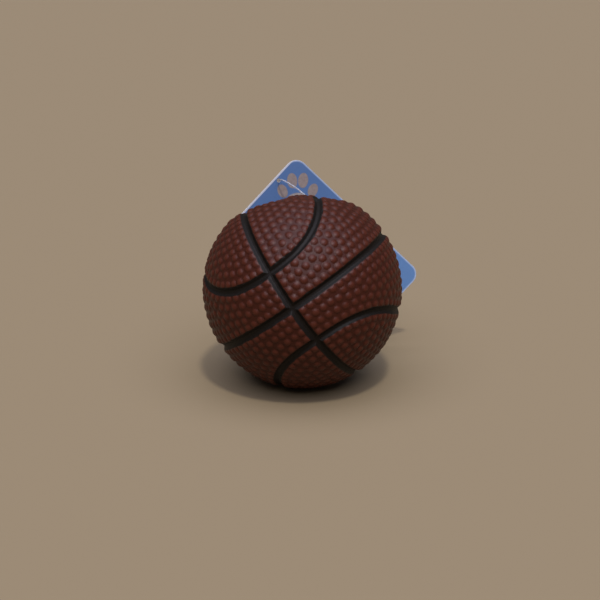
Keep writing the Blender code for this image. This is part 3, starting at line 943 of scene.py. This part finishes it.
def paw(finish, along, across, middle, width, turn):
    """The toes and the pad of a paw print, as two masks."""
    masks = []
    for group in (PAW_TOES, (PAW_PAD,)):
        mask = None
        for (x, y), (wide, tall), lean in group:
            place = Matrix.Rotation(turn, 2) @ Vector((x, y)) * width + Vector(middle)
            size = (wide * width, tall * width)
            mark = blot(finish, along, across, place, size, turn + lean)
            mask = mark if mask is None else finish.larger(mask, mark)
        masks.append(mask)
    return masks


def inside_edge(finish, along, across):
    """How far a point of the tag is from its cut edge."""
    corner = TAG_CORNER_RADIUS / MM
    half_length, half_width = TAG_LENGTH / MM / 2, TAG_WIDTH / MM / 2
    past_x = finish.size_of(along - half_length) - (half_length - corner)
    past_y = finish.size_of(across) - (half_width - corner)
    right = finish.larger(past_x, 0)
    up = finish.larger(past_y, 0)
    round_part = (right * right + up * up) ** 0.5
    flat_part = finish.smaller(finish.larger(past_x, past_y), 0)
    return corner - round_part - flat_part


def blue_ground(finish, along, across):
    """The print's blue ground, paler towards its far end, with small pale paws strewn over its middle."""
    clouds = finish.noise(11 * MM, detail=2)
    ground = finish.mix(finish.step(along, *GROUND_FADE), *CARD_BLUE)
    ground = finish.mix(0.3 * clouds, ground, CARD_CLOUD)
    wrap = {"operation": "WRAP"}
    cell = {1: SMALL_PAW_CELL / 2, 2: -SMALL_PAW_CELL / 2}
    in_cell_x = finish.node("Math", wrap, {0: along, **cell})
    in_cell_y = finish.node("Math", wrap, {0: across, **cell})
    toes, pad = paw(finish, in_cell_x, in_cell_y, (0, 0), SMALL_PAW_WIDTH, SMALL_PAW_TURN)
    begun = soft_step(finish, along, STREWN_FROM, STREWN_FADE)
    ended = soft_step(finish, along, STREWN_TO, STREWN_FADE)
    strewn = begun * (1 - ended)
    return finish.mix(0.45 * finish.larger(toes, pad) * strewn, ground, SMALL_PAW_BLUE)


def card_finish():
    """White card with a satin print on its front: a large brown paw on blue, and a pale rim."""
    finish = Finish("card", coat_roughness=0.3, specular=0.3)
    print_map = finish.node("UVMap", {"uv_map": "print"})
    along = finish.node("SeparateXYZ", None, {0: print_map}, 0) * (TAG_LENGTH / MM)
    across = finish.node("SeparateXYZ", None, {0: print_map}, 1) * (TAG_WIDTH / MM) - TAG_WIDTH / MM / 2
    side = finish.attribute("side")
    front = finish.step(side, 0.4, 0.6)
    fibres = finish.noise(0.35 * MM, detail=4, roughness=0.65)

    toes, pad = paw(finish, along, across, *LARGE_PAW)
    fur = finish.noise(1.2 * MM, detail=4, roughness=0.7)
    printed = finish.mix(pad, blue_ground(finish, along, across), finish.mix(fur, *PAD_BROWN))
    printed = finish.mix(toes, printed, finish.mix(fur, *TOE_BROWN))
    rim = 1 - soft_step(finish, inside_edge(finish, along, across), RIM_WIDTH, RIM_FADE)
    printed = finish.mix(0.6 * rim, printed, RIM_BLUE)
    unprinted = 1 - soft_step(finish, along, END_MARGIN, RIM_FADE)
    printed = finish.mix(0.8 * unprinted, printed, END_WHITE)

    bare = finish.mix(fibres, *CARD_WHITE)
    finish.wear("Base Color", finish.mix(front, bare, printed))
    finish.wear("Roughness", 0.72 - 0.30 * front + 0.08 * fibres)
    finish.wear("Coat Weight", 0.12 * front)
    finish.bump(fibres, 0.01 * MM, 0.4)
    return finish.material


# Stage: a plain pale floor, a broad lamp overhead, a small one high in front, one lower and a dim sky,
# with each lamp's strength, spread and colour
FLOOR_COLOUR = (0.270, 0.204, 0.118)
FLOOR_SIZE = 30.0
TOP_LAMP = (3.4, math.radians(80), (0.73, 0.765, 1.0))
TOP_LAMP_SHINES = (0, 0.30, -1)
FRONT_LAMP = (1.26, math.radians(5), (1.0, 0.96, 0.90))
FRONT_LAMP_SHINES = (-0.09, 0.53, -1)
LOW_LAMP = (0.22, math.radians(12), (1.0, 0.95, 0.90))
LOW_LAMP_SHINES = (0.06, 1.4, -1)
SKY_LIGHT = (0.060, 0.060, 0.070)
SKY_SEEN = (0.14, 0.137, 0.134)


def make_floor():
    bm = bmesh.new()
    bmesh.ops.create_grid(bm, x_segments=1, y_segments=1, size=FLOOR_SIZE)
    floor = link("floor", mesh_of("floor", bm))
    finish = Finish("floor", roughness=0.85, specular=0.2)
    finish.wear("Base Color", FLOOR_COLOUR)
    floor.data.materials.append(finish.material)


def make_lamp(name, shining, strength, spread, colour):
    """A far lamp that shines in a direction, as wide as its spread."""
    lamp = bpy.data.lights.new(name, "SUN")
    lamp.energy = strength
    lamp.angle = spread
    lamp.color = colour
    light = link(name, lamp)
    light.rotation_euler = Vector(shining).to_track_quat("-Z", "Y").to_euler()


def make_world():
    """A dim sky for soft light, which the camera, gloss and clear pieces see brighter."""
    world = bpy.data.worlds.new("studio")
    bpy.context.scene.world = world
    world.use_nodes = True
    tree = world.node_tree
    light = tree.nodes["Background"]
    light.inputs["Color"].default_value = (*SKY_LIGHT, 1)
    seen = tree.nodes.new("ShaderNodeBackground")
    seen.inputs["Color"].default_value = (*SKY_SEEN, 1)
    path = tree.nodes.new("ShaderNodeLightPath")
    share = path.outputs["Is Camera Ray"]
    for ray in ("Is Glossy Ray", "Is Transmission Ray"):
        either = tree.nodes.new("ShaderNodeMath")
        either.operation = "MAXIMUM"
        tree.links.new(share, either.inputs[0])
        tree.links.new(path.outputs[ray], either.inputs[1])
        share = either.outputs[0]
    mix = tree.nodes.new("ShaderNodeMixShader")
    tree.links.new(share, mix.inputs[0])
    tree.links.new(light.outputs[0], mix.inputs[1])
    tree.links.new(seen.outputs[0], mix.inputs[2])
    tree.links.new(mix.outputs[0], tree.nodes["World Output"].inputs["Surface"])


# Camera, at the photograph's angle
CAMERA_ELEVATION = math.radians(17.0)
CAMERA_DISTANCE = 450 * MM
AIM_BELOW_CENTRE = 4.23 * MM
AIM_LEFT_OF_CENTRE = 0.87 * MM
FOCAL_PIXELS = 1196
PICTURE_PIXELS = 600


def make_camera():
    data = bpy.data.cameras.new("camera")
    data.sensor_fit = "HORIZONTAL"
    data.lens = data.sensor_width * FOCAL_PIXELS / PICTURE_PIXELS
    camera = link("camera", data)
    level, rise = math.cos(CAMERA_ELEVATION), math.sin(CAMERA_ELEVATION)
    centre = Vector(BALL_CENTRE)
    place = centre + CAMERA_DISTANCE * Vector((0, -level, rise))
    up = Vector((0, rise, level))
    aim = centre - AIM_BELOW_CENTRE * up - AIM_LEFT_OF_CENTRE * Vector((1, 0, 0))
    camera.location = place
    camera.rotation_euler = (aim - place).to_track_quat("-Z", "Y").to_euler()
    bpy.context.scene.camera = camera


def dress(piece, finish, body, node):
    """Gives a piece its finish and its body, and hides the node of the part that it stands for."""
    piece.data.materials.clear()
    piece.data.materials.append(finish)
    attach(piece, body)
    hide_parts(node)


def refinish(node, finish):
    """Gives a node of the part that stays as it is a better material."""
    for slot in frame["nodes"][node].material_slots:
        slot.material = finish


dress(make_ball_skin(), vinyl_finish(), "ball", "ball_shell")
plug_plastic = moulded_finish("plug_plastic", *PLUG_WHITE)
dress(make_squeaker_plug(), plug_plastic, "ball", "squeaker_plug")
dress(make_tag_pin(), nylon_finish(), "pin", "tag_pin")
dress(make_hang_tag(), card_finish(), "tag", "hang_tag")
reed_plastic = moulded_finish("reed_plastic", *REED_IVORY)
refinish("reed_block", reed_plastic)
refinish("reed_clamp", reed_plastic)
refinish("squeaker_reed", brass_finish())

make_floor()
make_world()
make_lamp("top_lamp", TOP_LAMP_SHINES, *TOP_LAMP)
make_lamp("front_lamp", FRONT_LAMP_SHINES, *FRONT_LAMP)
make_lamp("low_lamp", LOW_LAMP_SHINES, *LOW_LAMP)
make_camera()
bpy.context.scene.view_settings.view_transform = "Standard"
